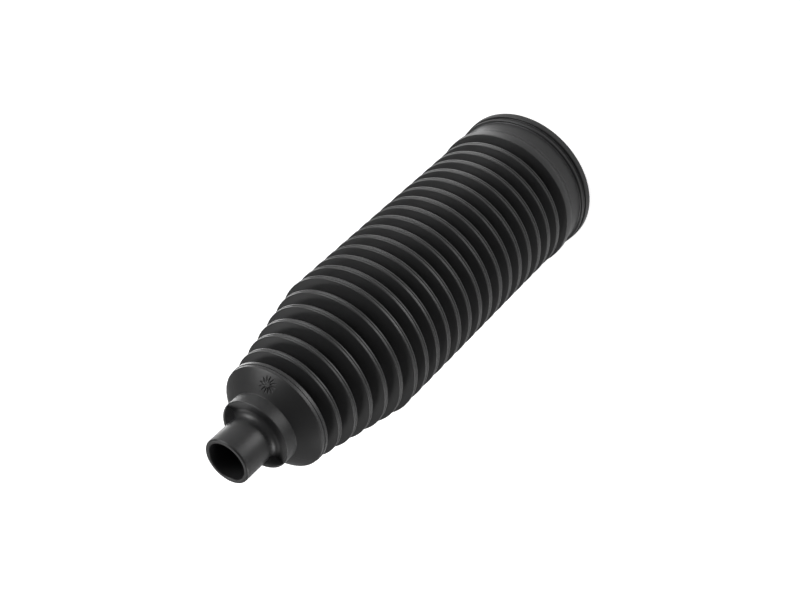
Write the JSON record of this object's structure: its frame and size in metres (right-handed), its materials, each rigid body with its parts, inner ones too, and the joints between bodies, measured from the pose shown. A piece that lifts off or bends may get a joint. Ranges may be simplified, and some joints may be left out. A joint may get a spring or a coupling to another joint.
{
  "type": "steering rack boot",
  "caption": "Thin-walled rubber bellows that tapers to a small clamp neck at one end, with a wide clamp cuff at the other.",
  "frame": {"origin": "centre of the annular end face of the large cuff, on which the boot stands", "axes": "+Z along the axis of the bellows, from the large cuff up to the mouth of the small neck"},
  "size_m": [0.0618, 0.0618, 0.197],
  "materials": {
    "rubber": "satin black moulded elastomer"
  },
  "bodies": {
    "root": {"boot": "rubber"}
  },
  "joints": []
}
